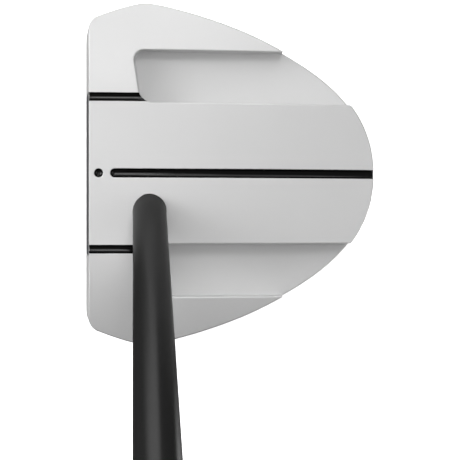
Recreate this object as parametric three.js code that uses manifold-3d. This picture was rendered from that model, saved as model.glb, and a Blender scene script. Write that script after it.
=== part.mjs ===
// Mallet putter: a painted aluminium head with ball-width sight lines, on a 34 inch club.
// Row frame, millimetres: origin on the ground under the middle of the flat sole, +X from the face to
// the back, +Y towards the toe, +Z up. The club lies at its address position.
import * as THREE from "three";
import { mergeVertices } from "three/addons/utils/BufferGeometryUtils.js";
import Module from "manifold-3d";

const wasm = await Module();
wasm.setup();

// ---- Driving dimensions ----
const HEAD = {
  faceX: -38, // the strike face's plane at half its height
  depth: 82.8, // face to back
  halfWidth: 49, // centre line to toe or heel
  height: 26, // ground to the deck's front edge
  floorZ: 0.4, // the rim around the sole plate clears the ground by this much
};
const LOFT = THREE.MathUtils.degToRad(3.5);
const LIE = THREE.MathUtils.degToRad(71.5);
const DECK = { halfWidth: 20, frontSlope: 0.023, curve: 0.00098 };
const LOBE = { start: 22.7, slope: 0.07, curve: 0.0082 };
const SKIRT = { height: 12, inset: 5, steps: 5 }; // the sides curve in to the sole over this height
const POCKET = { outerY: 35, frontOuter: 13, frontInner: 15.3, radius: 3.4, frontZ: 18, slope: 0.079 };
const SIDE_GROOVE = { y: 21.45, width: 2.3, depth: 1.05 }; // the pair frames one golf ball, 42.7 mm
const SIGHT_LINE = { start: 8, width: 2.5, depth: 1.1 };
const SIGHT_DOT = { at: 3.5, radius: 1.25, depth: 0.9 };
const INSERT = { width: 46.6, bottom: 2.6, top: 24.2, corner: 3, thickness: 3.3, recess: 3.9 };
const INSERT_TAPE = { gap: 0.1, thickness: 0.35, inset: 1.2 };
const FIT = 0.12; // clearance between pieces that touch

const PLATE = { front: -15, shoulder: 6, rear: 35, wide: 27, narrow: 14, corner: 4, thickness: 2.1 };
const CAVITY = { front: -6.5, shoulder: 5, rear: 25, wide: 20, narrow: 10.5, corner: 4, roof: 10.5 };
const SCREW = { headR: 2.35, headH: 1.35, shankR: 1.25, length: 8, socketR: 0.95, socketDepth: 0.8 };
const SCREW_PLACES = { front: [-10.5, 22.3], rear: [29.3, 9.6] };
const WEIGHT = { x: -16, y: 35.5, discR: 7, discH: 2, stemR: 5.3, height: 10, socketR: 3, socketDepth: 3.5 };
const WASHER = { innerR: 5.6, outerR: 6.8, thickness: 0.6 };

const SHAFT = {
  behindFace: 17.8, // where the axis passes through the deck
  heelOffset: 10.9,
  tipR: 4.72, // 0.370 inch parallel tip, and its paint
  buttR: 7.4,
  wall: 0.55,
  tipDepth: 20.3,
  taperStart: 165,
  taperEnd: 560,
};
const BOND = { innerR: 4.8, outerR: 5.04, boreR: 5.16, boreDepth: 20.9 };
const CLUB_LENGTH = 864; // 34 inch, along the shaft from the ground to the end of the grip
const GRIP = { length: 266, mouthR: 9.9, bodyR: 13, flat: 10.9, skin: 1.4, bulge: 3.2 };
const GRIP_TAPE = { gap: 0.12, thickness: 0.25 };
const CAP = { flange: 2.4, stemR: 6.5, stemLength: 12, ventR: 1 };
const ROUND = 24; // segments of a round piece
const GRIP_SEGMENTS = 32;

// ---- Materials ----
const MATERIALS = {
  painted: { color: 0xc9c9c9, roughness: 0.45, metalness: 0.35 },
  insert: { color: 0x4a4a4c, roughness: 0.6, metalness: 0 },
  steel: { color: 0xb4b6b8, roughness: 0.35, metalness: 1 },
  weight: { color: 0x8a8c8f, roughness: 0.4, metalness: 1 },
  shaft: { color: 0x1c1c1d, roughness: 0.35, metalness: 0.6 },
  rubber: { color: 0x151515, roughness: 0.85, metalness: 0 },
  foam: { color: 0x2c2d30, roughness: 0.95, metalness: 0 },
  nylon: { color: 0x1a1a1a, roughness: 0.5, metalness: 0 },
  adhesive: { color: 0x8d8a7c, roughness: 0.7, metalness: 0 },
};

// ---- Helpers ----
function solid(geometry) {
  const bare = geometry.clone();
  bare.deleteAttribute("normal");
  bare.deleteAttribute("uv");
  const merged = mergeVertices(bare, 1e-4);
  const vertProperties = merged.attributes.position.array;
  const triVerts = new Uint32Array(merged.index.array);
  return new wasm.Manifold(new wasm.Mesh({ numProp: 3, vertProperties, triVerts }));
}

function geometryOf(manifold) {
  const mesh = manifold.getMesh();
  const geometry = new THREE.BufferGeometry();
  geometry.setAttribute("position", new THREE.BufferAttribute(mesh.vertProperties, 3));
  geometry.setIndex(new THREE.BufferAttribute(mesh.triVerts, 1));
  const faceted = geometry.toNonIndexed();
  faceted.computeVertexNormals();
  return faceted;
}

function piece(name, geometry, look) {
  const mesh = new THREE.Mesh(geometry, new THREE.MeshStandardMaterial(MATERIALS[look]));
  mesh.name = name;
  return mesh;
}

// A closed profile of [radius, height] points, turned about the Z axis.
function turned(profile, segments = ROUND) {
  const points = profile.map(([r, z]) => new THREE.Vector2(r, z));
  return new THREE.LatheGeometry(points, segments).rotateX(Math.PI / 2);
}

function disc(radius, bottom, top, segments = ROUND) {
  return turned([[0, bottom], [radius, bottom], [radius, top], [0, top]], segments);
}

function tube(inner, outer, bottom, top) {
  return turned([[inner, bottom], [outer, bottom], [outer, top], [inner, top], [inner, bottom]]);
}

function prism(shape, bottom, top, curveSegments = 6) {
  const options = { depth: top - bottom, bevelEnabled: false, curveSegments };
  return new THREE.ExtrudeGeometry(shape, options).translate(0, 0, bottom);
}

// A polygon whose corners are rounded: each corner is [x, y, radius].
function roundedPolygon(corners) {
  const shape = new THREE.Shape();
  corners.forEach(([x, y, radius], i) => {
    const here = new THREE.Vector2(x, y);
    const before = corners.at(i - 1);
    const after = corners[(i + 1) % corners.length];
    const back = new THREE.Vector2(before[0], before[1]).sub(here).normalize();
    const on = new THREE.Vector2(after[0], after[1]).sub(here).normalize();
    const reach = radius / Math.tan(back.angleTo(on) / 2);
    const start = here.clone().addScaledVector(back, reach);
    const end = here.clone().addScaledVector(on, reach);
    if (i) shape.lineTo(start.x, start.y);
    else shape.moveTo(start.x, start.y);
    if (radius) shape.quadraticCurveTo(x, y, end.x, end.y);
  });
  shape.closePath();
  return shape;
}

function moved(geometry, x, y, z) {
  return geometry.clone().translate(x, y, z);
}

// ---- Head: plan and surfaces ----
const fromFace = (distance) => HEAD.faceX + distance;
const deckDrop = (back) => DECK.frontSlope * back + DECK.curve * back * back;
const lobeDrop = (out) => LOBE.slope * out + LOBE.curve * out * out;

function topHeight(x, y) {
  const back = Math.max(0, x - HEAD.faceX);
  const out = Math.max(0, Math.abs(y) - LOBE.start);
  return HEAD.height - deckDrop(back) - lobeDrop(out);
}

// Half of the plan outline, from the front corner of the toe side round to the middle of the back.
function sideCurves() {
  const at = (back, out) => new THREE.Vector2(fromFace(back), out);
  const wide = HEAD.halfWidth;
  const rear = HEAD.depth;
  return [
    [at(3, 44.85), at(6.1, 46.1), at(13.4, wide), at(17, wide)],
    [at(17, wide), at(20.3, wide), at(38, 44.75), at(51.2, 37.95)],
    [at(51.2, 37.95), at(67, 29.75), at(rear, 20.1), at(rear, 0)],
  ].map((points) => new THREE.CubicBezierCurve(...points));
}

// The plan outline, run straight on past the face, where the face plane cuts it off.
function bodyOutline() {
  const steps = [4, 7, 9];
  const toe = sideCurves().flatMap((curve, i) => curve.getPoints(steps[i]).slice(i ? 1 : 0));
  const beyond = new THREE.Vector2(fromFace(-9), 40);
  const half = [beyond, ...toe];
  const heel = half.slice(0, -1).map((p) => new THREE.Vector2(p.x, -p.y));
  return new THREE.Shape([...half, ...heel.reverse()].reverse());
}

// What the lofted face and the two rounded front corners leave.
function faceTrim() {
  const corner = new THREE.CubicBezierCurve(
    new THREE.Vector2(0, 42), new THREE.Vector2(0, 43.1),
    new THREE.Vector2(0.7, 44), new THREE.Vector2(1.6, 44.4),
  ).getPoints(5);
  const half = [...corner, new THREE.Vector2(40, 60.5), new THREE.Vector2(100, 60.5)];
  const other = half.map((p) => new THREE.Vector2(p.x, -p.y)).reverse();
  const shape = new THREE.Shape([...half, ...other].reverse());
  const lean = new THREE.Matrix4().makeShear(0, 0, 0, 0, Math.tan(LOFT), 0);
  return prism(shape, -20, 40).applyMatrix4(lean).translate(HEAD.faceX, 0, 0)
    .translate(-Math.tan(LOFT) * HEAD.height / 2, 0, 0);
}

// A block whose top is the deck and lobe surface.
function crownBlock() {
  const [length, width, bottom] = [100, 110, -20];
  const block = new THREE.BoxGeometry(length, width, 1, 28, 44, 1).translate(6, 0, 0);
  const place = block.attributes.position;
  for (let i = 0; i < place.count; i++) {
    const top = place.getZ(i) > 0;
    place.setZ(i, top ? topHeight(place.getX(i), place.getY(i)) : bottom);
  }
  return block;
}

function skirtedBody() {
  const options = {
    depth: HEAD.height,
    bevelThickness: SKIRT.height,
    bevelSize: SKIRT.inset,
    bevelOffset: -SKIRT.inset,
    bevelSegments: SKIRT.steps,
  };
  const body = new THREE.ExtrudeGeometry(bodyOutline(), options);
  return body.translate(0, 0, HEAD.floorZ + SKIRT.height);
}

// A pocket beside the deck, open above and at the back, with a floor that falls gently to the back.
function pocketTool(side) {
  const corners = [
    [POCKET.frontInner, DECK.halfWidth, POCKET.radius],
    [110, DECK.halfWidth, 0],
    [110, POCKET.outerY, 0],
    [POCKET.frontOuter, POCKET.outerY, POCKET.radius],
  ].map(([back, out, radius]) => [back, side * out, radius]);
  const shape = roundedPolygon(side > 0 ? corners : corners.reverse());
  const fall = new THREE.Matrix4().makeShear(0, -POCKET.slope, 0, 0, 0, 0);
  const frontZ = POCKET.frontZ + POCKET.slope * POCKET.frontOuter;
  return prism(shape, 0, 40).applyMatrix4(fall).translate(HEAD.faceX, 0, frontZ);
}

// A round-bottomed groove that follows the deck from one distance behind the face to another.
function grooveTool(y, { width, depth }, start, end) {
  const radius = (width * width / 4 + depth * depth) / (2 * depth);
  const section = new THREE.Shape().absarc(0, 0, radius, 0, 2 * Math.PI);
  const steps = Math.ceil((end - start) / 6) + 1;
  const route = Array.from({ length: steps + 1 }, (_, i) => {
    const back = start + (end - start) * i / steps;
    return new THREE.Vector3(fromFace(back), y, topHeight(fromFace(back), y) + radius - depth);
  });
  const extrudePath = new THREE.CatmullRomCurve3(route);
  return new THREE.ExtrudeGeometry(section, { steps, extrudePath, curveSegments: 12 });
}

// A round dimple: the lower part of a ball, as deep and as wide at the surface as asked.
function dimpleTool(back, radius, depth) {
  const ball = (radius * radius + depth * depth) / (2 * depth);
  const centreZ = topHeight(fromFace(back), 0) + ball - depth;
  return new THREE.SphereGeometry(ball, 20, 14).rotateX(Math.PI / 2).translate(fromFace(back), 0, centreZ);
}

// ---- Places that several pieces share ----
function taperedPlan({ front, shoulder, rear, wide, narrow, corner }, inset = 0) {
  const [w, n] = [wide - inset, narrow - inset];
  const [f, r] = [front + inset, rear - inset];
  return roundedPolygon([
    [f, -w, corner], [shoulder, -w, corner], [r, -n, corner],
    [r, n, corner], [shoulder, w, corner], [f, w, corner],
  ]);
}

function insertPlan(grow) {
  const [low, high] = [INSERT.bottom - HEAD.height / 2 - grow, INSERT.top - HEAD.height / 2 + grow];
  const half = INSERT.width / 2 + grow;
  const r = INSERT.corner + grow;
  return roundedPolygon([[-half, low, r], [half, low, r], [half, high, r], [-half, high, r]]);
}

// A slab parallel to the face: the plan's x runs towards the toe, and depth runs into the head.
function faceSlab(shape, from, to) {
  const slab = prism(shape, from, to);
  const toFace = new THREE.Matrix4().makeBasis(
    new THREE.Vector3(0, 1, 0), new THREE.Vector3(0, 0, 1), new THREE.Vector3(1, 0, 0),
  );
  return slab.applyMatrix4(toFace);
}

const faceFrame = new THREE.Group();
faceFrame.position.set(HEAD.faceX, 0, HEAD.height / 2);
faceFrame.rotation.y = LOFT;
faceFrame.updateMatrix();

const shaftFrame = new THREE.Group();
const shaftX = fromFace(SHAFT.behindFace);
shaftFrame.position.set(shaftX, -SHAFT.heelOffset, topHeight(shaftX, 0));
shaftFrame.rotation.x = Math.PI / 2 - LIE;
shaftFrame.updateMatrix();
const buttEnd = CLUB_LENGTH - shaftFrame.position.z / Math.sin(LIE);

const screwPlaces = [
  ["sole_screw_toe_front", SCREW_PLACES.front, 1],
  ["sole_screw_heel_front", SCREW_PLACES.front, -1],
  ["sole_screw_toe_rear", SCREW_PLACES.rear, 1],
  ["sole_screw_heel_rear", SCREW_PLACES.rear, -1],
].map(([name, [x, y], side]) => ({ name, x, y: side * y }));
const weightPlaces = [["toe", 1], ["heel", -1]].map(([end, side]) => ({ end, y: side * WEIGHT.y }));
const plateTop = PLATE.thickness;
const discTop = HEAD.floorZ + WEIGHT.discH;

// ---- Head pieces ----
function headBody() {
  let body = solid(skirtedBody()).intersect(solid(faceTrim())).intersect(solid(crownBlock()));
  const cut = (geometry) => {
    body = body.subtract(solid(geometry));
  };
  for (const side of [1, -1]) {
    cut(grooveTool(side * SIDE_GROOVE.y, SIDE_GROOVE, -3, 20));
    cut(pocketTool(side));
  }
  cut(grooveTool(0, SIGHT_LINE, SIGHT_LINE.start, HEAD.depth + 3));
  cut(dimpleTool(SIGHT_LINE.start, SIGHT_LINE.width / 2, SIGHT_LINE.depth));
  cut(dimpleTool(SIGHT_DOT.at, SIGHT_DOT.radius, SIGHT_DOT.depth));
  cut(faceSlab(insertPlan(FIT), -4, INSERT.recess).applyMatrix4(faceFrame.matrix));
  cut(disc(BOND.boreR, -BOND.boreDepth, 12).applyMatrix4(shaftFrame.matrix));
  cut(prism(taperedPlan(PLATE, -FIT), -5, plateTop + FIT));
  cut(prism(taperedPlan(CAVITY), 0, CAVITY.roof));
  for (const { x, y } of screwPlaces)
    cut(moved(disc(SCREW.shankR + FIT, 0, SCREW.length + 0.6, 12), x, y, 0));
  for (const { y } of weightPlaces) {
    const washerTop = discTop + WASHER.thickness + 2 * FIT;
    cut(moved(disc(WEIGHT.discR + FIT, -5, washerTop), WEIGHT.x, y, 0));
    cut(moved(disc(WEIGHT.stemR + FIT, 0, WEIGHT.height + 0.7), WEIGHT.x, y, 0));
  }
  return geometryOf(body);
}

function faceInsert() {
  return faceSlab(insertPlan(0), 0, INSERT.thickness);
}

function insertTape() {
  const start = INSERT.thickness + INSERT_TAPE.gap;
  return faceSlab(insertPlan(-INSERT_TAPE.inset), start, start + INSERT_TAPE.thickness);
}

function solePlate() {
  let plate = solid(prism(taperedPlan(PLATE), 0, plateTop));
  const coneR = SCREW.headR + FIT;
  const hole = turned([
    [0, -0.1], [coneR, -0.1], [coneR, 0.1], [SCREW.shankR + FIT, SCREW.headH + 0.1],
    [SCREW.shankR + FIT, 5], [0, 5],
  ]);
  for (const { x, y } of screwPlaces) plate = plate.subtract(solid(moved(hole, x, y, 0)));
  return geometryOf(plate);
}

// A countersunk socket screw, head down, its face just above the plate's underside.
function soleScrew() {
  const body = turned([
    [0, 0.15], [SCREW.headR - 0.1, 0.15], [SCREW.headR - 0.1, 0.3], [SCREW.shankR, SCREW.headH + 0.2],
    [SCREW.shankR, SCREW.length - 0.5], [SCREW.shankR - 0.5, SCREW.length], [0, SCREW.length],
  ]);
  const socket = disc(SCREW.socketR, -1, 0.15 + SCREW.socketDepth, 6);
  return geometryOf(solid(body).subtract(solid(socket)));
}

// A screw-in weight: a flush disc with a six-sided tool socket, and a stem that goes up into the head.
function soleWeight() {
  const body = turned([
    [0, HEAD.floorZ], [WEIGHT.discR - 0.4, HEAD.floorZ], [WEIGHT.discR, HEAD.floorZ + 0.4],
    [WEIGHT.discR, discTop], [WEIGHT.stemR, discTop], [WEIGHT.stemR, WEIGHT.height - 0.6],
    [WEIGHT.stemR - 0.6, WEIGHT.height], [0, WEIGHT.height],
  ]);
  const socket = disc(WEIGHT.socketR, -1, HEAD.floorZ + WEIGHT.socketDepth, 6);
  return geometryOf(solid(body).subtract(solid(socket)));
}

function weightWasher() {
  return tube(WASHER.innerR, WASHER.outerR, discTop + FIT, discTop + FIT + WASHER.thickness);
}

function cavityDamper() {
  return prism(taperedPlan(CAVITY, 0.4), plateTop + FIT + 0.2, CAVITY.roof - 0.5);
}

// ---- Shaft pieces, along the shaft frame's Z axis, which starts at the deck ----
function shaftTube() {
  const { tipR, buttR, wall, tipDepth, taperStart, taperEnd } = SHAFT;
  const outside = [[tipR, -tipDepth], [tipR, taperStart], [buttR, taperEnd], [buttR, buttEnd - 4]];
  const inside = outside.map(([r, z]) => [r - wall, z]).reverse();
  return turned([...outside, ...inside, outside[0]]);
}

function shaftBond() {
  return tube(BOND.innerR, BOND.outerR, -SHAFT.tipDepth, -2.4);
}

function tipPlug() {
  const r = SHAFT.tipR - SHAFT.wall - 0.1;
  return turned([[0, -17], [r - 0.6, -17], [r, -16], [r, -5], [r - 0.6, -4], [0, -4]]);
}

// ---- Grip pieces ----
const gripStart = buttEnd - CAP.flange - 0.4 - GRIP.length;
const smooth = (edge0, edge1, x) => THREE.MathUtils.smoothstep(x, edge0, edge1);

// The grip is round at its mouth, grows to a paddle with one flat side, and bulges at the back.
function gripRadius(t) {
  return THREE.MathUtils.lerp(GRIP.mouthR, GRIP.bodyR, smooth(0, 0.45, t)) - 0.6 * smooth(0.9, 1, t);
}

function gripOuter(geometry, inset, boreR) {
  const place = geometry.attributes.position;
  const bore = boreR + 0.05;
  for (let i = 0; i < place.count; i++) {
    const [x, y, z] = [place.getX(i), place.getY(i), place.getZ(i)];
    if (Math.hypot(x, y) < bore) continue;
    const t = (z - gripStart) / GRIP.length;
    const flat = THREE.MathUtils.lerp(GRIP.mouthR, GRIP.flat, smooth(0, 0.3, t)) - inset;
    const bulge = GRIP.bulge * smooth(0.45, 0.75, t) * (1 - 0.75 * smooth(0.82, 1, t));
    place.setY(i, y > 0 ? Math.min(y, flat) : y * (1 + bulge / (GRIP.bodyR - inset)));
  }
  return geometry;
}

function gripLayer(outerInset, innerR, innerInset) {
  const rings = 16;
  const height = (i) => gripStart + GRIP.length * i / rings;
  const steps = Array.from({ length: rings + 1 }, (_, i) => i);
  const outside = steps.map((i) => [gripRadius(i / rings) - outerInset, height(i)]);
  const profileIn = innerR === null
    ? steps.map((i) => [gripRadius(i / rings) - innerInset, height(i)])
    : [[innerR, height(0)], [innerR, height(rings)]];
  return { outside, inside: profileIn.reverse() };
}

const tapeOuterR = SHAFT.buttR + GRIP_TAPE.gap + GRIP_TAPE.thickness;

function gripCore() {
  const boreR = tapeOuterR + GRIP_TAPE.gap;
  const { outside, inside } = gripLayer(GRIP.skin + FIT, boreR, 0);
  const core = turned([...outside, ...inside, outside[0]], GRIP_SEGMENTS);
  return gripOuter(core, GRIP.skin + FIT, boreR);
}

// The skin's outer and inner surfaces are shaped apart, and the solid is one less the other.
function gripSkin() {
  const shell = (inset, extra) => {
    const { outside } = gripLayer(inset, 0, 0);
    const [first, last] = [outside[0], outside.at(-1)];
    const ends = [[0, first[1] - extra], [first[0], first[1] - extra]];
    const tops = [[last[0], last[1] + extra], [0, last[1] + extra]];
    const profile = extra ? [...ends, ...outside, ...tops] : [[0, first[1]], ...outside, [0, last[1]]];
    return gripOuter(turned(profile, GRIP_SEGMENTS), inset, 0);
  };
  return geometryOf(solid(shell(0, 0)).subtract(solid(shell(GRIP.skin, 2))));
}

function gripTape() {
  return tube(SHAFT.buttR + GRIP_TAPE.gap, tapeOuterR, gripStart + 2, buttEnd - 6);
}

// The butt cap: a flange with a vent hole, and a stem that plugs the shaft's open end.
function gripCap() {
  const flangeR = gripRadius(1) - 1.2;
  const under = buttEnd - CAP.flange;
  const body = turned([
    [0, under - CAP.stemLength], [CAP.stemR, under - CAP.stemLength], [CAP.stemR, under],
    [flangeR, under], [flangeR, buttEnd - 1], [flangeR - 1, buttEnd], [0, buttEnd],
  ], GRIP_SEGMENTS);
  const vent = disc(CAP.ventR, under - CAP.stemLength - 1, buttEnd + 1, 12);
  return geometryOf(solid(body).subtract(solid(vent)));
}

// ---- Assembly ----
const putter = new THREE.Group();

const head = new THREE.Group();
head.add(piece("head_body", headBody(), "painted"));
head.add(piece("sole_plate", solePlate(), "steel"));
head.add(piece("cavity_damper", cavityDamper(), "foam"));
for (const { name, x, y } of screwPlaces) {
  const screw = piece(name, soleScrew(), "steel");
  screw.position.set(x, y, 0);
  head.add(screw);
}
for (const { end, y } of weightPlaces) {
  const weight = piece(end + "_weight", soleWeight(), "weight");
  const washer = piece(end + "_weight_washer", weightWasher(), "nylon");
  weight.position.set(WEIGHT.x, y, 0);
  washer.position.copy(weight.position);
  head.add(weight, washer);
}

faceFrame.add(piece("face_insert", faceInsert(), "insert"));
faceFrame.add(piece("insert_tape", insertTape(), "adhesive"));

shaftFrame.add(piece("shaft", shaftTube(), "shaft"));
shaftFrame.add(piece("shaft_bond", shaftBond(), "adhesive"));
shaftFrame.add(piece("shaft_tip_plug", tipPlug(), "nylon"));
shaftFrame.add(piece("grip_tape", gripTape(), "adhesive"));
shaftFrame.add(piece("grip_core", gripCore(), "foam"));
shaftFrame.add(piece("grip_skin", gripSkin(), "rubber"));
shaftFrame.add(piece("grip_cap", gripCap(), "nylon"));

putter.add(head, faceFrame, shaftFrame);

export default putter;
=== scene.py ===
"""The looks of the mallet putter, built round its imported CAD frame.

The head, its insert and its sole hardware are fields: functions that give the signed distance to a
surface, negative inside. mesh_field() turns a field into a mesh whose vertices lie on the surface,
with the surface's own normals, so the small fillets stay crisp. The shaft, the grip and the cap are
turned and lofted. Lengths are in millimetres up to the mesh, and in metres after it, in the frame's
own axes: +X from the face to the back, +Y to the toe, +Z up.
"""

import math

import bpy
import numpy as np
from mathutils import Matrix, Vector


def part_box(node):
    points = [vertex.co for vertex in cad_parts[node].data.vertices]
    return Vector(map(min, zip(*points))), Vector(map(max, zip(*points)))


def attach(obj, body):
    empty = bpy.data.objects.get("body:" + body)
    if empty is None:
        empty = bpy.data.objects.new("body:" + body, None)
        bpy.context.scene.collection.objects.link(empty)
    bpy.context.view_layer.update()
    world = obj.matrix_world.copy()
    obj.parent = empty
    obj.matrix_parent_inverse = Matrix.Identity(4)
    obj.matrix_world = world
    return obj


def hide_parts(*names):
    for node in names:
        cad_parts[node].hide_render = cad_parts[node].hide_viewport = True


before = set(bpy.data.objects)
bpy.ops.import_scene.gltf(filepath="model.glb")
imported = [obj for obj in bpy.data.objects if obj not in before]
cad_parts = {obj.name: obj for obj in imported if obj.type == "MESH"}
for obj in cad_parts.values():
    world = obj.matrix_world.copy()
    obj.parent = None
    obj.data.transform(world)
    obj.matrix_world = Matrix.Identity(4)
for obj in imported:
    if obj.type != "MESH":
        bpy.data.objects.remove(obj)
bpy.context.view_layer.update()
MM = 0.001

# ---- Driving dimensions, as in the CAD ----
FACE_X, HEAD_HEIGHT, SOLE_Z = -38.0, 26.0, 0.4
BACK_X, HALF_WIDTH, _ = (float(c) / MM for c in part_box("head_body")[1])
HEAD_DEPTH = BACK_X - FACE_X
LOFT, LIE = math.radians(3.5), math.radians(71.5)
DECK_HALF, DECK_SLOPE, DECK_CURVE = 20.0, 0.023, 0.00098
LOBE_START, LOBE_SLOPE, LOBE_CURVE = 22.7, 0.07, 0.0082
SKIRT_HEIGHT, SKIRT_INSET = 12.0, 5.0
POCKET_OUTER, POCKET_FRONT_OUTER, POCKET_FRONT_INNER, POCKET_CORNER = 35.0, 13.0, 15.3, 3.4
POCKET_Z, POCKET_SLOPE = 18.0, 0.079
SIDE_GROOVE_Y, SIDE_GROOVE_WIDTH, SIDE_GROOVE_DEPTH = 21.45, 2.3, 1.05
SIGHT_START, SIGHT_WIDTH, SIGHT_DEPTH = 8.0, 2.5, 1.1
DOT_AT, DOT_RADIUS, DOT_DEPTH = 3.5, 1.25, 0.9
INSERT_HALF, INSERT_LOW, INSERT_HIGH, INSERT_CORNER = 23.3, 2.6, 24.2, 3.0
INSERT_MIDDLE = (INSERT_LOW + INSERT_HIGH - HEAD_HEIGHT) / 2
INSERT_HALF_HEIGHT = (INSERT_HIGH - INSERT_LOW) / 2
INSERT_THICK, INSERT_RECESS = 3.3, 3.9
FIT = 0.12

# ---- Radii of the head's rounded edges, and of the cove round the pockets' floors ----
EDGE_RIM, EDGE_FACE, EDGE_CORNER, EDGE_DECK, EDGE_GROOVE = 0.45, 0.15, 2.6, 0.45, 0.14
EDGE_SEAT, EDGE_BORE, EDGE_UNDER = 0.15, 0.05, 0.2
COVE = 0.5
LEAD_IN = (-9, 40.0)  # where the outline starts, ahead of the lofted face


# ---- Fields ----
def round_max(a, b, r):
    """The intersection of two fields, with its convex edge rounded to radius r."""
    return np.minimum(np.maximum(a, b), -r) + np.hypot(np.maximum(a + r, 0), np.maximum(b + r, 0))


def cut(body, tool, r):
    """body less tool, with the edge that this leaves rounded."""
    return round_max(body, -tool, r)


def bezier(points, steps):
    t = np.linspace(0, 1, steps + 1)[:, None]
    a, b, c, d = np.array(points, float)
    return (1 - t) ** 3 * a + 3 * (1 - t) ** 2 * t * b + 3 * (1 - t) * t**2 * c + t**3 * d


def half_outline():
    """The toe side of the plan outline, from ahead of the face round to the middle of the back."""
    curves = [
        ((3, 44.85), (6.1, 46.1), (13.4, HALF_WIDTH), (17, HALF_WIDTH)),
        ((17, HALF_WIDTH), (20.3, HALF_WIDTH), (38, 44.75), (51.2, 37.95)),
        ((51.2, 37.95), (67, 29.75), (HEAD_DEPTH, 20.1), (HEAD_DEPTH, 0)),
    ]
    points = np.vstack([[LEAD_IN], *(bezier(c, 80) for c in curves)])
    keep = np.r_[True, np.hypot(*np.diff(points, axis=0).T) > 1e-6]
    return points[keep] + (FACE_X, 0)


OUTLINE = half_outline()


def plan_distance(x, y):
    """The distance outside the plan outline, which is convex and the same on both sides."""
    y = np.abs(y)
    edges = np.diff(OUTLINE, axis=0)
    normals = np.stack([-edges[:, 1], edges[:, 0]], 1) / np.hypot(*edges.T)[:, None]
    result = np.full(np.broadcast(x, y).shape, -1e3)
    for (px, py), (nx, ny) in zip(OUTLINE, normals):
        np.maximum(result, (x - px) * nx + (y - py) * ny, out=result)
    return result


def top_height(x, y):
    """The height of the deck and lobes, and one over the length of their upward normal."""
    back = np.maximum(0, x - FACE_X)
    out = np.maximum(0, np.abs(y) - LOBE_START)
    height = HEAD_HEIGHT - DECK_SLOPE * back - DECK_CURVE * back**2 - LOBE_SLOPE * out - LOBE_CURVE * out**2
    rise_x = DECK_SLOPE + 2 * DECK_CURVE * back
    rise_y = (LOBE_SLOPE + 2 * LOBE_CURVE * out) * (out > 0)
    return height, 1 / np.sqrt(1 + rise_x**2 + rise_y**2)


def face_axes(x, z):
    """Depth behind the lofted face, and height along it from its middle."""
    x, z = x - FACE_X, z - HEAD_HEIGHT / 2
    return x * math.cos(LOFT) - z * math.sin(LOFT), x * math.sin(LOFT) + z * math.cos(LOFT)


def rounded_rectangle(u, v, half_u, half_v, corner):
    qu, qv = np.abs(u) - half_u + corner, np.abs(v) - half_v + corner
    return np.hypot(np.maximum(qu, 0), np.maximum(qv, 0)) + np.minimum(np.maximum(qu, qv), 0) - corner


def skirted_sides(x, y, z):
    """The sides and the underside: an elliptical curve joins them."""
    u = np.maximum(plan_distance(x, y) + SKIRT_INSET, 0) / SKIRT_INSET
    v = np.maximum(SOLE_Z + SKIRT_HEIGHT - z, 0) / SKIRT_HEIGHT
    reach = np.maximum(np.hypot(u, v), 1e-6)
    steepness = np.hypot(u / SKIRT_INSET, v / SKIRT_HEIGHT) / reach
    return (reach - 1) / np.maximum(steepness, 1 / SKIRT_HEIGHT)


def pocket(x, y, z):
    """The pocket on either side of the deck: open above and behind, with a falling floor."""
    out, back = np.abs(y), x - FACE_X
    lean = (POCKET_FRONT_INNER - POCKET_FRONT_OUTER) / (POCKET_OUTER - DECK_HALF)
    front = (POCKET_FRONT_OUTER + lean * (POCKET_OUTER - out) - back) / math.hypot(1, lean)
    plan = round_max(round_max(front, out - POCKET_OUTER, POCKET_CORNER), DECK_HALF - out, POCKET_CORNER)
    floor = POCKET_Z - POCKET_SLOPE * (back - POCKET_FRONT_OUTER)
    return round_max(plan, (floor - z) / math.hypot(1, POCKET_SLOPE), COVE)


def groove(x, y, z, start, middle, width, depth):
    """A round-bottomed groove that follows the deck from start, where it ends in a quarter ball."""
    radius = (width**2 / 4 + depth**2) / (2 * depth)
    height, _ = top_height(np.maximum(x, start), middle)
    ahead = np.maximum(start - x, 0)
    return np.sqrt(ahead**2 + (y - middle) ** 2 + (z - height - radius + depth) ** 2) - radius


def side_grooves(x, y, z):
    return groove(x, np.abs(y), z, FACE_X - 9, SIDE_GROOVE_Y, SIDE_GROOVE_WIDTH, SIDE_GROOVE_DEPTH)


def sight_marks(x, y, z):
    line = groove(x, y, z, FACE_X + SIGHT_START, 0, SIGHT_WIDTH, SIGHT_DEPTH)
    ball = (DOT_RADIUS**2 + DOT_DEPTH**2) / (2 * DOT_DEPTH)
    height, _ = top_height(np.float64(FACE_X + DOT_AT), 0.0)
    dot = np.sqrt((x - FACE_X - DOT_AT) ** 2 + y**2 + (z - height - ball + DOT_DEPTH) ** 2) - ball
    return np.minimum(line, dot)


def insert_plan(x, y, z, grow):
    """The face insert's outline, in the plane of the face."""
    depth, along = face_axes(x, z)
    size = INSERT_HALF + grow, INSERT_HALF_HEIGHT + grow, INSERT_CORNER + grow
    return rounded_rectangle(y, along - INSERT_MIDDLE, *size), depth


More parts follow.
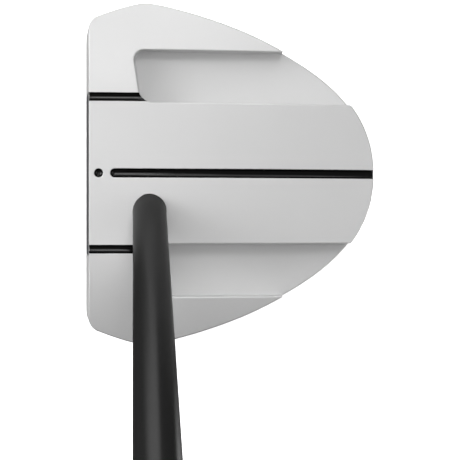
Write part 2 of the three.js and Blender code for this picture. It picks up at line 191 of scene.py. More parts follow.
# ---- The shaft's line ----
SHAFT_X, SHAFT_Y = FACE_X + 17.8, -10.9
SHAFT_Z = float(top_height(np.float64(SHAFT_X), 0.0)[0])
SHAFT_DIRECTION = np.array([0, -math.cos(LIE), math.sin(LIE)])
TIP_R, BUTT_R, SHAFT_WALL, TIP_DEPTH = 4.72, 7.4, 0.55, 20.3
TAPER_START, TAPER_END = 165.0, 560.0
BORE_R, BORE_LIP_R, BORE_LIP, BORE_DEPTH = 5.12, 4.6, 2.2, 20.9
CLUB_LENGTH = 864.0
BUTT_END = CLUB_LENGTH - SHAFT_Z / math.sin(LIE)
SHAFT_FRAME = Matrix.Translation((SHAFT_X * MM, SHAFT_Y * MM, SHAFT_Z * MM)) @ Matrix.Rotation(
    math.pi / 2 - LIE, 4, "X"
)


def shaft_axes(x, y, z):
    """Distance from the shaft's axis, and distance along it above the deck."""
    x, y, z = x - SHAFT_X, y - SHAFT_Y, z - SHAFT_Z
    along = y * SHAFT_DIRECTION[1] + z * SHAFT_DIRECTION[2]
    across = y * SHAFT_DIRECTION[2] - z * SHAFT_DIRECTION[1]
    return np.hypot(x, across), along


# ---- Sole hardware ----
PLATE = {"front": -15, "shoulder": 6, "rear": 35, "wide": 27, "narrow": 14}
CAVITY = {"front": -6.5, "shoulder": 5, "rear": 25, "wide": 20, "narrow": 10.5}
PLAN_CORNER, PLATE_TOP, CAVITY_ROOF = 4.0, 2.1, 10.5
WEIGHT_X, WEIGHT_Y, WEIGHT_R, WEIGHT_DISC = -16.0, 35.5, 7.0, 2.0
WEIGHT_STEM_R, WEIGHT_TOP, WEIGHT_RING_AT, WEIGHT_RING_R = 5.3, 10.0, 5.2, 0.3
WEIGHT_SOCKET_R, WEIGHT_SOCKET_DEPTH, WASHER_ROOM, STEM_ROOM = 3.0, 3.5, 0.84, 0.7
SCREW_HEAD_R, SCREW_SHANK_R, SCREW_LENGTH, SCREW_CONE = 2.35, 1.25, 8.0, 0.8
SCREW_SOCKET_R, SCREW_SOCKET_DEPTH, SCREW_LOW = 0.95, 0.8, 0.15
COUNTERSINK_Z, COUNTERSINK_CONE = 0.1, 0.88
SCREW_PLACES = {
    "sole_screw_toe_front": (-10.5, 22.3),
    "sole_screw_heel_front": (-10.5, -22.3),
    "sole_screw_toe_rear": (29.3, 9.6),
    "sole_screw_heel_rear": (29.3, -9.6),
}


def tapered_plan(x, y, plan, inset=0.0):
    """A plate outline: square at the front, narrowing from its shoulder to the back, with round corners."""
    out = np.abs(y)
    run, fall = plan["rear"] - plan["shoulder"], plan["wide"] - plan["narrow"]
    slope = ((x - plan["shoulder"]) * fall + (out - plan["wide"]) * run) / math.hypot(run, fall)
    ends = round_max(plan["front"] - x, out - plan["wide"], PLAN_CORNER)
    ends = round_max(ends, slope, PLAN_CORNER)
    return round_max(ends, x - plan["rear"], PLAN_CORNER) + inset


def head_field(x, y, z):
    height, flatten = top_height(x, y)
    top = (z - height) * flatten
    depth, _ = face_axes(x, z)
    body = round_max(skirted_sides(x, y, z), top, EDGE_RIM)
    body = round_max(body, -depth, EDGE_FACE)
    corner = round_max(plan_distance(x, y), -depth, EDGE_CORNER)
    body = np.maximum(body, round_max(corner, top, EDGE_FACE))
    body = cut(body, pocket(x, y, z), EDGE_DECK)
    body = cut(body, side_grooves(x, y, z), EDGE_GROOVE)
    body = cut(body, sight_marks(x, y, z), EDGE_GROOVE)
    plan, depth = insert_plan(x, y, z, FIT)
    body = cut(body, np.maximum(plan, depth - INSERT_RECESS), EDGE_SEAT)
    away, along = shaft_axes(x, y, z)
    bore = np.maximum(away - BORE_R, along + BORE_LIP)
    bore = np.maximum(np.minimum(bore, away - BORE_LIP_R), -along - BORE_DEPTH)
    body = cut(body, bore, EDGE_BORE)
    body = cut(body, np.maximum(tapered_plan(x, y, PLATE, -FIT), z - PLATE_TOP - FIT), EDGE_UNDER)
    body = cut(body, np.maximum(tapered_plan(x, y, CAVITY), z - CAVITY_ROOF), EDGE_UNDER)
    from_weight = np.hypot(x - WEIGHT_X, np.abs(y) - WEIGHT_Y)
    disc = np.maximum(from_weight - WEIGHT_R - FIT, z - SOLE_Z - WEIGHT_DISC - WASHER_ROOM)
    stem = np.maximum(from_weight - WEIGHT_STEM_R - FIT, z - WEIGHT_TOP - STEM_ROOM)
    return cut(body, np.minimum(disc, stem), EDGE_UNDER)


# ---- Fields to meshes ----
def spaced(low, high, step, *fine):
    """Positions from low to high a step apart, closer together in each (from, to, step) of fine."""
    places, at = [], low
    while at < high:
        places.append(at)
        at += min([step] + [s for a, b, s in fine if a <= at < b])
    return np.array(places + [high])


def surface_net(field, axes):
    """The quads round the field's zero surface on a grid: one vertex in each cell that it crosses."""
    x, y, z = axes
    values = field(x[:, None, None], y[None, :, None], z[None, None, :]).astype(np.float32)
    inside = values < 0
    shape = tuple(n - 1 for n in values.shape)
    corners = np.zeros(shape, np.int8)
    for i in (0, 1):
        for j in (0, 1):
            for k in (0, 1):
                corners += inside[i : i + shape[0], j : j + shape[1], k : k + shape[2]]
    active = (corners > 0) & (corners < 8)
    number = np.full(shape, -1, np.int64)
    number[active] = np.arange(active.sum())
    cells = np.argwhere(active)
    total, count = np.zeros((len(cells), 3)), np.zeros(len(cells))
    for axis in range(3):
        step = np.eye(3, dtype=int)[axis]
        for offset in ((0, 0), (0, 1), (1, 0), (1, 1)):
            start = cells + np.insert(offset, axis, 0)
            end = start + step
            a, b = values[tuple(start.T)], values[tuple(end.T)]
            crossed = (a < 0) != (b < 0)
            share = np.where(crossed, a / np.where(crossed, a - b, 1), 0)
            place = np.stack([axes[n][start[:, n]] for n in range(3)], 1)
            place[:, axis] += share * (axes[axis][end[:, axis]] - axes[axis][start[:, axis]])
            total += place * crossed[:, None]
            count += crossed
    quads = []
    for axis in range(3):
        low = [slice(1, -1)] * 3
        low[axis] = slice(0, -1)
        high = list(low)
        high[axis] = slice(1, None)
        change = inside[tuple(low)].astype(np.int8) - inside[tuple(high)]
        first = np.argwhere(change != 0)
        start = first + np.insert([1, 1], axis, 0)
        b, c = [n for n in range(3) if n != axis]
        back_b, back_c = np.eye(3, dtype=int)[b], np.eye(3, dtype=int)[c]
        ring = [start - back_b - back_c, start - back_c, start, start - back_b]
        quad = np.stack([number[tuple(cell.T)] for cell in ring], 1)
        flip = (change[tuple(first.T)] < 0) != (axis == 1)
        quad[flip] = quad[flip, ::-1]
        quads.append(quad)
    return total / count[:, None], np.vstack(quads)


def gradient(field, points, step=0.01):
    x, y, z = points.T
    here = field(x, y, z)
    moved = [field(x + step, y, z), field(x, y + step, z), field(x, y, z + step)]
    return here, (np.stack(moved, 1) - here[:, None]) / step


def onto_surface(field, points, rounds=2, reach=0.3):
    """The points moved onto the field's surface, each by no more than reach in a round."""
    for _ in range(rounds):
        here, slope = gradient(field, points)
        length = np.maximum((slope**2).sum(1), 0.05)
        move = np.clip(here / length, -reach, reach)[:, None] * slope
        points = points - move
    return points


def new_object(name, mesh):
    made = bpy.data.objects.new(name, mesh)
    bpy.context.scene.collection.objects.link(made)
    return made


def fill_mesh(mesh, points, faces):
    faces = np.asarray(faces)
    sides = faces.shape[1]
    mesh.vertices.add(len(points))
    mesh.vertices.foreach_set("co", np.asarray(points, np.float32).ravel())
    mesh.loops.add(faces.size)
    mesh.loops.foreach_set("vertex_index", faces.astype(np.int32).ravel())
    mesh.polygons.add(len(faces))
    mesh.polygons.foreach_set("loop_start", np.arange(0, faces.size, sides, dtype=np.int32))
    mesh.polygons.foreach_set("loop_total", np.full(len(faces), sides, np.int32))
    mesh.update(calc_edges=True)


def applied(piece):
    """Replaces the piece's mesh with the one that its modifiers give."""
    bpy.context.view_layer.update()
    graph = bpy.context.evaluated_depsgraph_get()
    mesh = bpy.data.meshes.new_from_object(piece.evaluated_get(graph))
    piece.modifiers.clear()
    piece.data = mesh
    mesh.name = piece.name
    return piece


def mesh_field(name, field, axes, triangles, place=Matrix()):
    """A piece from a field, thinned to about so many triangles and set in its place."""
    points, quads = surface_net(field, axes)
    points = onto_surface(field, points)
    mesh = bpy.data.meshes.new(name)
    fill_mesh(mesh, points, quads)
    piece = new_object(name, mesh)
    if 2 * len(quads) > triangles:
        thin = piece.modifiers.new("thin", "DECIMATE")
        thin.ratio = triangles / (2 * len(quads))
        applied(piece)
        mesh = piece.data
        points = np.empty(len(mesh.vertices) * 3)
        mesh.vertices.foreach_get("co", points)
        points = onto_surface(field, points.reshape(-1, 3))
    _, normals = gradient(field, points)
    normals /= np.maximum(np.linalg.norm(normals, axis=1, keepdims=True), 1e-9)
    turn = np.array(place.to_3x3())
    places = points @ turn.T * MM + np.array(place.translation)
    mesh.vertices.foreach_set("co", places.astype(np.float32).ravel())
    mesh.polygons.foreach_set("use_smooth", np.ones(len(mesh.polygons), bool))
    mesh.update()
    mesh.normals_split_custom_set_from_vertices((normals @ turn.T).tolist())
    return piece, points


def shell_mesh(name, rings, place=Matrix(), closed=True):
    """A smooth mesh through equal rings of points; closed joins the last ring to the first."""
    count, around = len(rings), len(rings[0])
    rows = np.arange(count if closed else count - 1)
    i, j = np.meshgrid(rows, np.arange(around), indexing="ij")
    after, beside = (i + 1) % count, (j + 1) % around
    here, there = i * around, after * around
    quads = np.stack([here + j, here + beside, there + beside, there + j], -1)
    mesh = bpy.data.meshes.new(name)
    points = np.array(rings, float).reshape(-1, 3) * MM
    turn = np.array(place.to_3x3())
    fill_mesh(mesh, points @ turn.T + np.array(place.translation), quads.reshape(-1, 4))
    mesh.polygons.foreach_set("use_smooth", np.ones(len(mesh.polygons), bool))
    return new_object(name, mesh)


def turned(name, profile, segments, place=Matrix(), closed=True):
    """A profile of (radius, height) points, turned about the place's Z axis."""
    angle = np.linspace(0, 2 * math.pi, segments, endpoint=False)
    rings = [np.stack([r * np.cos(angle), r * np.sin(angle), np.full(segments, h)], 1) for r, h in profile]
    return shell_mesh(name, rings, place, closed)


def arc(middle, radius, start, end, steps):
    """Points on an arc in the (radius, height) plane, with its angles in degrees."""
    return [
        (middle[0] + radius * math.cos(math.radians(a)), middle[1] + radius * math.sin(math.radians(a)))
        for a in np.linspace(start, end, steps)
    ]


def declare(piece, slot, *nodes):
    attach(piece, "root")
    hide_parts(*nodes)
    return piece


# ---- Materials ----
class Look:
    """A Principled material and short ways to add nodes to it."""

    def __init__(self, name, colour, roughness, metallic=0.0, **sockets):
        self.material = bpy.data.materials.new(name)
        self.material.use_nodes = True
        self.tree = self.material.node_tree
        self.shader = self.tree.nodes["Principled BSDF"]
        values = {"Base Color": (*colour, 1), "Roughness": roughness, "Metallic": metallic, **sockets}
        for socket, value in values.items():
            self.shader.inputs[socket].default_value = value

    def add(self, kind, inputs=(), **settings):
        node = self.tree.nodes.new(kind)
        for key, value in settings.items():
            setattr(node, key, value)
        for socket, value in dict(inputs).items():
            if isinstance(value, bpy.types.NodeSocket):
                self.tree.links.new(value, node.inputs[socket])
            else:
                node.inputs[socket].default_value = value
        return node

    def link(self, source, socket):
        self.tree.links.new(source, self.shader.inputs[socket])

    def coordinates(self, stretch=(1, 1, 1)):
        """Object coordinates in millimetres, each axis times stretch."""
        place = self.add("ShaderNodeTexCoord").outputs["Object"]
        scale = tuple(s / MM for s in stretch)
        return self.add("ShaderNodeMapping", {"Vector": place, "Scale": scale}).outputs["Vector"]

    def noise(self, size, detail=2.0, stretch=(1, 1, 1)):
        """Noise from 0 to 1, with features about so many millimetres across."""
        inputs = {"Vector": self.coordinates(stretch), "Scale": 1 / size, "Detail": detail}
        return self.add("ShaderNodeTexNoise", inputs).outputs["Fac"]

    def ranged(self, source, low, high, to_low, to_high):
        limits = {"From Min": low, "From Max": high, "To Min": to_low, "To Max": to_high}
        inputs = {"Value": source, **limits}
        return self.add("ShaderNodeMapRange", inputs).outputs["Result"]

    def mixed(self, share, a, b):
        """Colour a where share is 0 and b where it is 1."""
        node = self.add("ShaderNodeMix", {"Factor": share}, data_type="RGBA")
        for socket, colour in ((node.inputs[6], a), (node.inputs[7], b)):
            if isinstance(colour, bpy.types.NodeSocket):
                self.tree.links.new(colour, socket)
            else:
                socket.default_value = (*colour, 1)
        return node.outputs[2]

    def bump(self, height, depth):
        """Bumps so many millimetres deep."""
        node = self.add("ShaderNodeBump", {"Height": height, "Distance": depth * MM, "Strength": 1.0})
        self.link(node.outputs["Normal"], "Normal")

    def on(self, *objects):
        for o in objects:
            o.data.materials.clear()
            o.data.materials.append(self.material)


def shade(level, tint=(1, 1, 1)):
    return tuple(level * t for t in tint)


PAINT_SILVER, PAINT_ROUGH, PAINT_METAL = 0.66, 0.5, 0.3
BLACK_PAINT_AND_SHADE, BLACK_ROUGH = 0.001, 0.12
# ROOT_SHADE_LINE is the width of a ring of painted shade in the black paint round the shaft's root,
# standing for the dark seam between shaft and head
PAINT_SPREAD, ROOT_SHADE_LINE, PAINT_FADE = 0.04, 0.03, (0.02, 0.06)


def head_paint():
    """Satin silver paint with a fine metallic grain, gloss black in the grooves, and a thin ring of painted
    shade in the same black round the shaft's root.
    """
    gloss = {"Specular IOR Level": 0.33}
    look = Look("head_paint", shade(PAINT_SILVER), PAINT_ROUGH, PAINT_METAL, **gloss)
    # The "groove" attribute holds the distance to the black grooves and to the painted shade ring round the
    # shaft's root
    groove = look.add("ShaderNodeAttribute", attribute_name="groove", attribute_type="GEOMETRY")
    silver = look.ranged(groove.outputs["Fac"], *PAINT_FADE, 0, 1)
    grain = look.noise(0.35, 3)
    cloud = look.noise(14, 2)
    tone = look.mixed(cloud, shade(PAINT_SILVER * 0.985), shade(PAINT_SILVER * 1.015))
    look.link(look.mixed(silver, shade(BLACK_PAINT_AND_SHADE), tone), "Base Color")
    satin = look.ranged(grain, 0.3, 0.7, PAINT_ROUGH - 0.03, PAINT_ROUGH + 0.03)
    rough = look.add("ShaderNodeMix", {"Factor": silver, "A": BLACK_ROUGH, "B": satin}).outputs["Result"]
    look.link(rough, "Roughness")
    look.link(look.ranged(silver, 0, 1, 0, PAINT_METAL), "Metallic")
    look.bump(grain, 0.004)
    return look


def insert_polymer():
    """Matt dark grey polymer."""
    tint = (1, 1, 1.05)
    look = Look("insert_polymer", shade(0.09, tint), 0.5)
    grain = look.noise(0.3, 4)
    look.link(look.mixed(grain, shade(0.08, tint), shade(0.1, tint)), "Base Color")
    look.link(look.ranged(grain, 0.3, 0.7, 0.45, 0.58), "Roughness")
    look.bump(grain, 0.01)
    return look


def brushed_steel(name, level, along, roughness):
    """Steel with fine scratches that run along one axis, given as a small number in along."""
    look = Look(name, shade(level, (1, 1, 1.015)), roughness, 1.0)
    lines = look.noise(0.16, 5, along)
    look.link(look.mixed(lines, shade(level * 0.9), shade(level * 1.1)), "Base Color")
    look.link(look.ranged(lines, 0.25, 0.75, roughness - 0.08, roughness + 0.1), "Roughness")
    look.bump(lines, 0.006)
    return look


def shaft_black():
    """Satin black metallic paint."""
    look = Look("shaft_black", shade(0.09), 0.3, 0.85, **{"Specular Tint": (0.3, 0.3, 0.3, 1)})
    grain = look.noise(0.25, 3)
    cloud = look.noise(30, 2)
    look.link(look.mixed(cloud, shade(0.085), shade(0.095)), "Base Color")
    look.link(look.ranged(grain, 0.3, 0.7, 0.28, 0.32), "Roughness")
    look.bump(grain, 0.003)
    return look


def moulded(name, level, roughness, grain_size, depth, tint=(1, 1, 1)):
    """A moulded rubber, foam, nylon or epoxy: a mottled colour and a fine grain."""
    look = Look(name, shade(level, tint), roughness)
    grain = look.noise(grain_size, 4)
    dark, light = shade(level * 0.85, tint), shade(level * 1.15, tint)
    look.link(look.mixed(grain, dark, light), "Base Color")
    rough = look.ranged(grain, 0.3, 0.7, roughness - 0.06, min(1, roughness + 0.06))
    look.link(rough, "Roughness")
    look.bump(grain, depth)
    return look


# ---- Pieces of the head ----
HEAD_TRIANGLES, FLAT_TRIANGLES, SCREW_TRIANGLES, WEIGHT_TRIANGLES = 180_000, 90_000, 12_000, 30_000
HEAD_GRID = [
    spaced(-40, 45, 0.42, (-39.2, -36.4, 0.22), (-36.4, -28.5, 0.3), (-25.5, -17, 0.3)),
    spaced(
        -50, 50, 0.42,
        (-36, -34.2, 0.25), (-23.2, -19.2, 0.2), (-1.7, 1.7, 0.2), (19.2, 23.2, 0.2), (34.2, 36, 0.25),
    ),
    spaced(-0.5, 27, 0.35),
]
FACE_FRAME = Matrix.Translation((FACE_X * MM, 0, HEAD_HEIGHT / 2 * MM)) @ Matrix.Rotation(LOFT, 4, "Y")
MILL_PITCH, MILL_DEPTH, MILL_MARGIN, MILL_RADIUS = 1.35, 0.22, 1.6, 0.34


def build_head():
    """The head, with the distance to its black grooves and to the painted shade ring round the shaft's root
    stored for the paint.
    """
    piece, points = mesh_field("head_shell", head_field, HEAD_GRID, HEAD_TRIANGLES)
    x, y, z = points.T
    from_shaft, along = shaft_axes(x, y, z)
    # Painted shade: a black ring round the shaft where it enters the deck, for the dark seam between shaft
    # and head; it stops at the bore's depth
    root_shade = np.maximum(from_shaft - TIP_R - ROOT_SHADE_LINE, -along - BORE_DEPTH)
    paint = np.minimum.reduce([side_grooves(x, y, z) - PAINT_SPREAD, sight_marks(x, y, z), root_shade])
    layer = piece.data.attributes.new("groove", "FLOAT", "POINT")
    layer.data.foreach_set("value", paint.astype(np.float32))
    return declare(piece, "head_paint", "head_body")


def insert_field(depth, y, along):
    """The face insert in the plane of the face, with fine grooves milled across it."""
    plan = rounded_rectangle(y, along - INSERT_MIDDLE, INSERT_HALF, INSERT_HALF_HEIGHT, INSERT_CORNER)
    slab = round_max(round_max(plan, -depth, 0.3), depth - INSERT_THICK, 0.3)
    phase = (along - INSERT_MIDDLE) / MILL_PITCH
    from_groove = np.abs(phase - np.round(phase)) * MILL_PITCH
    mill = np.hypot(from_groove, depth + MILL_RADIUS - MILL_DEPTH) - MILL_RADIUS
    return cut(slab, round_max(mill, plan + MILL_MARGIN, 0.1), 0.06)


def build_insert():
    low, high = INSERT_LOW - HEAD_HEIGHT / 2, INSERT_HIGH - HEAD_HEIGHT / 2
    grid = [
        spaced(-0.3, 3.7, 0.35, (-0.3, 0.5, 0.1)),
        spaced(-23.7, 23.7, 0.5, (-23.7, -21.3, 0.2), (21.3, 23.7, 0.2)),
        spaced(low - 0.4, high + 0.4, 0.13),
    ]
    piece, _ = mesh_field("insert_milled", insert_field, grid, FLAT_TRIANGLES, FACE_FRAME)
    return declare(piece, "face_insert", "face_insert")


def screw_holes(x, y, z):
    """The countersunk holes of the sole plate, as one tool."""
    tool = np.full(np.broadcast(x, y, z).shape, 1e3)
    for px, py in SCREW_PLACES.values():
        away = np.hypot(x - px, y - py)
        cone = away - (SCREW_HEAD_R + FIT) + (z - COUNTERSINK_Z) * COUNTERSINK_CONE
        cone = cone / math.hypot(1, COUNTERSINK_CONE)
        tool = np.minimum(tool, np.minimum(cone, away - SCREW_SHANK_R - FIT))
    return tool


def plate_field(x, y, z):
    slab = round_max(round_max(tapered_plan(x, y, PLATE), -z, 0.35), z - PLATE_TOP, 0.15)
    return cut(slab, screw_holes(x, y, z), 0.08)


def build_sole_plate():
    grid = [spaced(-15.5, 35.5, 0.33), spaced(-27.5, 27.5, 0.33), spaced(-0.3, 2.5, 0.16)]
    piece, _ = mesh_field("sole_plate_brushed", plate_field, grid, FLAT_TRIANGLES)
    return declare(piece, "sole_plate", "sole_plate")


def hexagon(x, y, radius):
    """The distance outside a hexagon whose corners are at radius, two of them on the X axis."""
    flat = radius * math.sqrt(3) / 2
    turns = [math.radians(a) for a in (30, 90, 150)]
    return np.maximum.reduce([np.abs(x * math.cos(a) + y * math.sin(a)) for a in turns]) - flat


def screw_field(x, y, z):
    away = np.hypot(x, y)
    head = round_max(away - SCREW_HEAD_R + 0.1, SCREW_LOW - z, 0.12)
    cone = away - SCREW_HEAD_R + 0.1 + (z - 0.3) * SCREW_CONE
    head = np.maximum(head, cone / math.hypot(1, SCREW_CONE))
    shank = round_max(away - SCREW_SHANK_R, z - SCREW_LENGTH, 0.4)
    body = np.minimum(head, np.maximum(shank, 0.6 - z))
    socket = np.maximum(hexagon(x, y, SCREW_SOCKET_R), z - SCREW_LOW - SCREW_SOCKET_DEPTH)
    return cut(body, socket, 0.05)


def weight_field(x, y, z):
    """A screw-in weight: a disc with a ring turned in its face and a six-sided socket, under a stem."""
    away = np.hypot(x, y)
    disc = round_max(round_max(away - WEIGHT_R, SOLE_Z - z, 0.4), z - SOLE_Z - WEIGHT_DISC, 0.1)
    stem = round_max(away - WEIGHT_STEM_R, z - WEIGHT_TOP, 0.6)
    body = np.minimum(disc, np.maximum(stem, SOLE_Z + 1 - z))
    ring = np.hypot(away - WEIGHT_RING_AT, z - SOLE_Z) - WEIGHT_RING_R
    socket = np.maximum(hexagon(x, y, WEIGHT_SOCKET_R), z - SOLE_Z - WEIGHT_SOCKET_DEPTH)
    return cut(cut(body, ring, 0.05), socket, 0.2)


def at(x, y):
    return Matrix.Translation((x * MM, y * MM, 0))


def build_screws():
    grid = [spaced(-2.6, 2.6, 0.1)] * 2 + [spaced(-0.1, 8.3, 0.3, (-0.1, 2, 0.1))]
    made = []
    for node, (x, y) in SCREW_PLACES.items():
        piece, _ = mesh_field(node + "_turned", screw_field, grid, SCREW_TRIANGLES, at(x, y))
        made.append(declare(piece, "screws", node))
    return made


def build_weights():
    grid = [spaced(-7.3, 7.3, 0.18)] * 2 + [spaced(0.1, 10.4, 0.4, (0.1, 2.8, 0.16))]
    made = []
    for node, side in (("toe_weight", 1), ("heel_weight", -1)):
        place = at(WEIGHT_X, side * WEIGHT_Y)
        piece, _ = mesh_field(node + "_turned", weight_field, grid, WEIGHT_TRIANGLES, place)
        made.append(declare(piece, "weights", node))
    return made


# ---- The shaft and the grip ----
TIP_GAP, BUTT_GAP = 0.4, 4.3
GRIP_LENGTH, GRIP_MOUTH_R, GRIP_BODY_R, GRIP_FLAT, GRIP_BULGE = 266.0, 9.9, 13.0, 10.9, 3.2
GRIP_SKIN, GRIP_LIP, GRIP_NARROWING = 1.4, 0.6, 0.6
WEAVE_PITCH, WEAVE_DEPTH, RIB_PITCH, BORDER_DEPTH = 3.4, 0.34, 2.2, 0.22
CAP_FLANGE, CAP_GAP, CAP_INSET, CAP_STEM_R, CAP_STEM, VENT_R = 2.4, 0.4, 1.2, 6.5, 12.0, 1.0
GRIP_START = BUTT_END - CAP_FLANGE - CAP_GAP - GRIP_LENGTH


def build_shaft():
    """A painted steel tube, parallel at its tip, then growing to the butt."""
    low, high = -TIP_DEPTH + TIP_GAP, BUTT_END - BUTT_GAP
    heights = [
        *np.linspace(low, TAPER_START, 24),
        *np.linspace(TAPER_START, TAPER_END, 24)[1:],
        *np.linspace(TAPER_END, high, 8)[1:],
    ]
    share = [min(1, max(0, (h - TAPER_START) / (TAPER_END - TAPER_START))) for h in heights]
    outside = [(TIP_R + (BUTT_R - TIP_R) * s, h) for h, s in zip(heights, share)]
    inside = [(r - SHAFT_WALL, h) for r, h in reversed(outside)]
    lip = SHAFT_WALL / 2
    low_rim = arc((TIP_R - lip, low), lip, 180, 360, 7)
    high_rim = arc((BUTT_R - lip, high), lip, 0, 180, 7)
    profile = [*low_rim[1:-1], *outside, *high_rim[1:-1], *inside]
    piece = turned("shaft_tube", profile, 128, SHAFT_FRAME)
    return declare(piece, "shaft", "shaft")


def smoothstep(low, high, t):
    s = np.clip((t - low) / (high - low), 0, 1)
    return s * s * (3 - 2 * s)


def grip_section(t, angle, inset):
    """The grip's outline at t of its length: round at the mouth, then a paddle with one flat side."""
    radius = GRIP_MOUTH_R + (GRIP_BODY_R - GRIP_MOUTH_R) * smoothstep(0, 0.45, t)
    radius = radius - GRIP_NARROWING * smoothstep(0.9, 1, t)
    x, y = (radius - inset) * np.cos(angle), (radius - inset) * np.sin(angle)
    flat = GRIP_MOUTH_R + (GRIP_FLAT - GRIP_MOUTH_R) * smoothstep(0, 0.3, t) - inset
    bulge = GRIP_BULGE * smoothstep(0.45, 0.75, t) * (1 - 0.75 * smoothstep(0.82, 1, t))
    soft = np.maximum(0, 1.2 - np.abs(y - flat)) / 1.2
    front = np.minimum(y, flat) - soft**2 * 0.3
    return x, np.where(y > 0, front, y * (1 + bulge / (GRIP_BODY_R - inset)))


def build_grip():
    """The grip skin, with a moulded pattern: fine ribs on the flat, and a diamond weave elsewhere."""
    around, along = 168, 460
    angle = np.linspace(0, 2 * math.pi, around, endpoint=False)[None, :]
    t = np.linspace(0, 1, along)[:, None]
    height = GRIP_START + GRIP_LENGTH * t
    x, y = grip_section(t, angle, 0)
    arc_length = GRIP_BODY_R * angle
    right = np.sin(math.pi * (height + arc_length) / WEAVE_PITCH)
    left = np.sin(math.pi * (height - arc_length) / WEAVE_PITCH)
    weave = np.abs(right * left)
    ribs = 0.5 + 0.5 * np.cos(2 * math.pi * height / RIB_PITCH)
    on_flat = smoothstep(0.62, 0.8, np.sin(angle))
    pattern = weave**0.7 * (1 - on_flat) + ribs * on_flat
    plain = smoothstep(0.02, 0.035, t) * (1 - smoothstep(0.955, 0.97, t))
    border = smoothstep(0.08, 0.2, np.abs(np.sin(angle) - 0.71)) * plain
    sink = WEAVE_DEPTH * (1 - pattern) * border + BORDER_DEPTH * plain * (1 - border)
    length = np.hypot(x, y)
    outer = np.stack([x * (1 - sink / length), y * (1 - sink / length), height + 0 * x], -1)

    def rim(row, sign):
        """The turned-in end of the skin at one of its rows; sign is 1 at the butt, -1 at the mouth."""
        made = []
        for a in np.linspace(0, math.pi / 2, 5)[1:]:
            share = 1 - GRIP_LIP * (1 - math.cos(a)) / length[row]
            ring = outer[row].copy()
            ring[:, :2] *= share[:, None]
            ring[:, 2] += sign * GRIP_LIP * (math.sin(a) - 1)
            made.append(ring)
        return made

    back_down = np.linspace(1, 0, 40)[:, None]
    inner_x, inner_y = grip_section(back_down, angle, GRIP_SKIN)
    inner_height = GRIP_START + GRIP_LENGTH * back_down + 0 * inner_x
    inside = list(np.stack([inner_x, inner_y, inner_height], -1))
    rows = list(outer)
    rows[0][:, 2] += GRIP_LIP
    rows[-1][:, 2] -= GRIP_LIP
    rings = [*rows, *rim(-1, 1), *inside, *reversed(rim(0, -1))]
    piece = shell_mesh("grip_textured", rings, SHAFT_FRAME)
    return declare(piece, "grip_skin", "grip_skin")


def build_cap():
    """The butt cap: a domed flange with a vent hole, over a stem that plugs the shaft."""
    flange = GRIP_BODY_R - GRIP_NARROWING - CAP_INSET
    under = BUTT_END - CAP_FLANGE
    profile = [
        *arc((VENT_R + 0.3, BUTT_END - 0.3), 0.3, 180, 90, 4),
        *arc((flange - 3.1, BUTT_END - 0.25), 0.25, 90, 0, 4),
        *arc((flange - 2.5, BUTT_END - 0.25), 0.25, 180, 90, 4),
        *arc((flange - 1, BUTT_END - 1), 1, 90, 0, 7),
        *arc((flange - 0.3, under + 0.3), 0.3, 0, -90, 4),
        (CAP_STEM_R, under),
        *arc((CAP_STEM_R - 0.4, under - CAP_STEM + 0.4), 0.4, 0, -90, 4),
        (VENT_R, under - CAP_STEM),
    ]
    piece = turned("grip_cap_moulded", profile[::-1], 96, SHAFT_FRAME)
    return declare(piece, "nylon", "grip_cap")


# ---- The studio ----
LIGHT_DISTANCE, FLOOR_GLOW, SKY_BELOW, SKY_ABOVE = 1.6, 1.0, 0.05, 0.17


def build_floor():
    """A plain white floor that sweeps up into a dome far away.

    Only the camera sees it, so the head's edges stay dark.
    """
    flat, rise, drop = 8000.0, 4000.0, 0.05
    reach = flat + rise
    profile = [(r, -drop) for r in (1, 400, 2000, 5000)]
    profile += arc((flat, rise - drop), rise, -90, 0, 9)
    profile += [(reach * math.cos(a), rise + reach * math.sin(a)) for a in np.radians([15, 35, 60, 89])]
    floor = turned("floor", profile, 64, closed=False)
    glow = {"Emission Color": (1, 1, 1, 1), "Emission Strength": FLOOR_GLOW}
    look = Look("floor_white", shade(0.8), 0.9, 0.0, **{"Specular IOR Level": 0.0}, **glow)
    look.on(floor)
    floor.visible_diffuse = floor.visible_glossy = floor.visible_shadow = False


def area_light(name, width, depth, radiance, place):
    """An evenly glowing rectangle, its sides in metres, which the camera doesn't see."""
    data = bpy.data.lights.new(name, "AREA")
    data.shape = "RECTANGLE"
    data.size, data.size_y = width, depth
    data.energy = radiance * math.pi * width * depth
    lamp = new_object(name, data)
    lamp.matrix_world = place
    lamp.visible_camera = False


def softbox(name, lean_x, lean_y, half_x, half_y, radiance):
    """A far light, in degrees: how far it leans from overhead towards +X and +Y, and half its size."""
    direction = Vector((math.tan(math.radians(lean_x)), math.tan(math.radians(lean_y)), 1)).normalized()
    width, depth = (2 * LIGHT_DISTANCE * math.tan(math.radians(half)) for half in (half_x, half_y))
    across = (Vector((1, 0, 0)) - direction * direction.x).normalized()
    axes = Matrix((across, direction.cross(across), direction)).transposed()
    place = Matrix.Translation(direction * LIGHT_DISTANCE) @ axes.to_4x4()
    area_light(name, width, depth, radiance, place)


def table_card(name, x, y, width, depth, radiance):
    """A glowing card on the table, which only the shaft's underside and the head's low edges face."""
    place = Matrix.Translation((x * MM, y * MM, -0.002)) @ Matrix.Rotation(math.pi, 4, "X")
    area_light(name, width * MM, depth * MM, radiance, place)


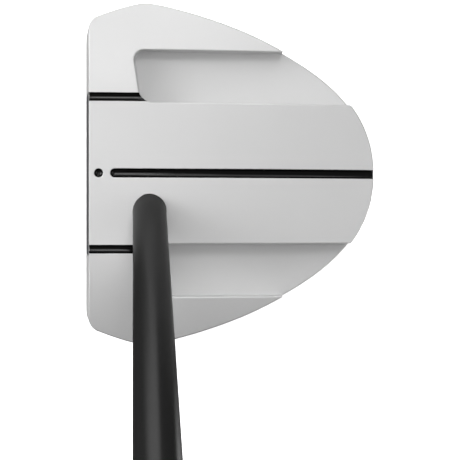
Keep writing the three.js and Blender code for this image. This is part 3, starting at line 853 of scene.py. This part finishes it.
def build_sky():
    """A dim even sky, dimmer still from below, where the table would be."""
    world = bpy.data.worlds.new("studio")
    bpy.context.scene.world = world
    world.use_nodes = True
    tree = world.node_tree
    direction = tree.nodes.new("ShaderNodeTexCoord").outputs["Generated"]
    split = tree.nodes.new("ShaderNodeSeparateXYZ")
    tree.links.new(direction, split.inputs["Vector"])
    level = tree.nodes.new("ShaderNodeMapRange")
    tree.links.new(split.outputs["Z"], level.inputs["Value"])
    limits = {"From Min": -0.02, "From Max": 0.02, "To Min": SKY_BELOW, "To Max": SKY_ABOVE}
    for socket, value in limits.items():
        level.inputs[socket].default_value = value
    background = tree.nodes["Background"]
    background.inputs["Color"].default_value = (1, 1, 1, 1)
    tree.links.new(level.outputs["Result"], background.inputs["Strength"])


def build_studio():
    build_sky()
    softbox("key", 3, 24, 4, 6, 11)
    softbox("key_edge", 10, 24, 4, 6, 3)
    softbox("overhead", 0, 0, 8, 10, 1.9)
    softbox("face_high", -14, 8, 6, 14, 1)
    softbox("face_middle", -45, 40, 14, 16, 2.4)
    softbox("face_side", -60, 28, 10, 10, 11.3)
    softbox("face_low", -72, 20, 10, 14, 6.5)
    softbox("toe_middle", 10, 48, 16, 10, 1.2)
    softbox("toe_side", 34, 68, 10, 10, 3.6)
    softbox("toe_low", -10, 72, 20, 10, 0.3)
    softbox("back_fill", 46, -10, 12, 25, 0.7)
    softbox("back_low", 64, -8, 10, 20, 1.4)
    softbox("heel_fill", -45, -20, 18, 15, 1)
    table_card("toe_card", -60, 140, 120, 140, 1.3)
    table_card("back_card", 120, -70, 120, 120, 4.5)
    bpy.context.scene.view_settings.view_transform = "Standard"
    build_floor()


CAMERA_AT, CAMERA_AIM = (-24.78, -14.7, 452.8), (2.84, -16.06, 20.0)
LENS = 118.56


def build_camera():
    """Straight above the deck, where the golfer's eyes are, with +X to the right and +Y up the picture."""
    data = bpy.data.cameras.new("camera")
    data.lens, data.sensor_width = LENS, 36
    data.clip_start, data.clip_end = 0.01, 50
    camera = new_object("camera", data)
    camera.location = Vector(CAMERA_AT) * MM
    aim = (Vector(CAMERA_AIM) - Vector(CAMERA_AT)).normalized()
    right = (Vector((1, 0, 0)) - aim * aim.x).normalized()
    up = right.cross(aim)
    camera.rotation_euler = Matrix((right, up, -aim)).transposed().to_euler()
    bpy.context.scene.camera = camera


def node(name):
    return bpy.data.objects[name]


build_camera()
build_studio()
head_paint().on(build_head())
insert_polymer().on(build_insert())
brushed_steel("sole_steel", 0.5, (1, 0.03, 1), 0.3).on(build_sole_plate())
brushed_steel("screw_steel", 0.42, (1, 1, 1), 0.3).on(*build_screws())
brushed_steel("weight_steel", 0.32, (1, 1, 1), 0.32).on(*build_weights())
shaft_black().on(build_shaft())
moulded("grip_rubber", 0.022, 0.8, 0.4, 0.02).on(build_grip())
moulded("cap_nylon", 0.02, 0.5, 0.5, 0.01).on(build_cap())
moulded("epoxy", 0.05, 0.5, 1.0, 0.02, (1, 0.97, 0.85)).on(node("shaft_bond"))
moulded("foam_tape", 0.3, 0.7, 0.6, 0.02, (1, 0.97, 0.85)).on(node("insert_tape"))
moulded("damper_foam", 0.03, 0.9, 0.8, 0.05).on(node("cavity_damper"))
moulded("plug_nylon", 0.02, 0.5, 0.5, 0.01).on(node("shaft_tip_plug"))
moulded("washer_nylon", 0.02, 0.6, 0.5, 0.01).on(node("toe_weight_washer"), node("heel_weight_washer"))
moulded("paper_tape", 0.6, 0.8, 0.5, 0.02, (1, 0.93, 0.75)).on(node("grip_tape"))
moulded("core_foam", 0.04, 0.9, 0.6, 0.05).on(node("grip_core"))
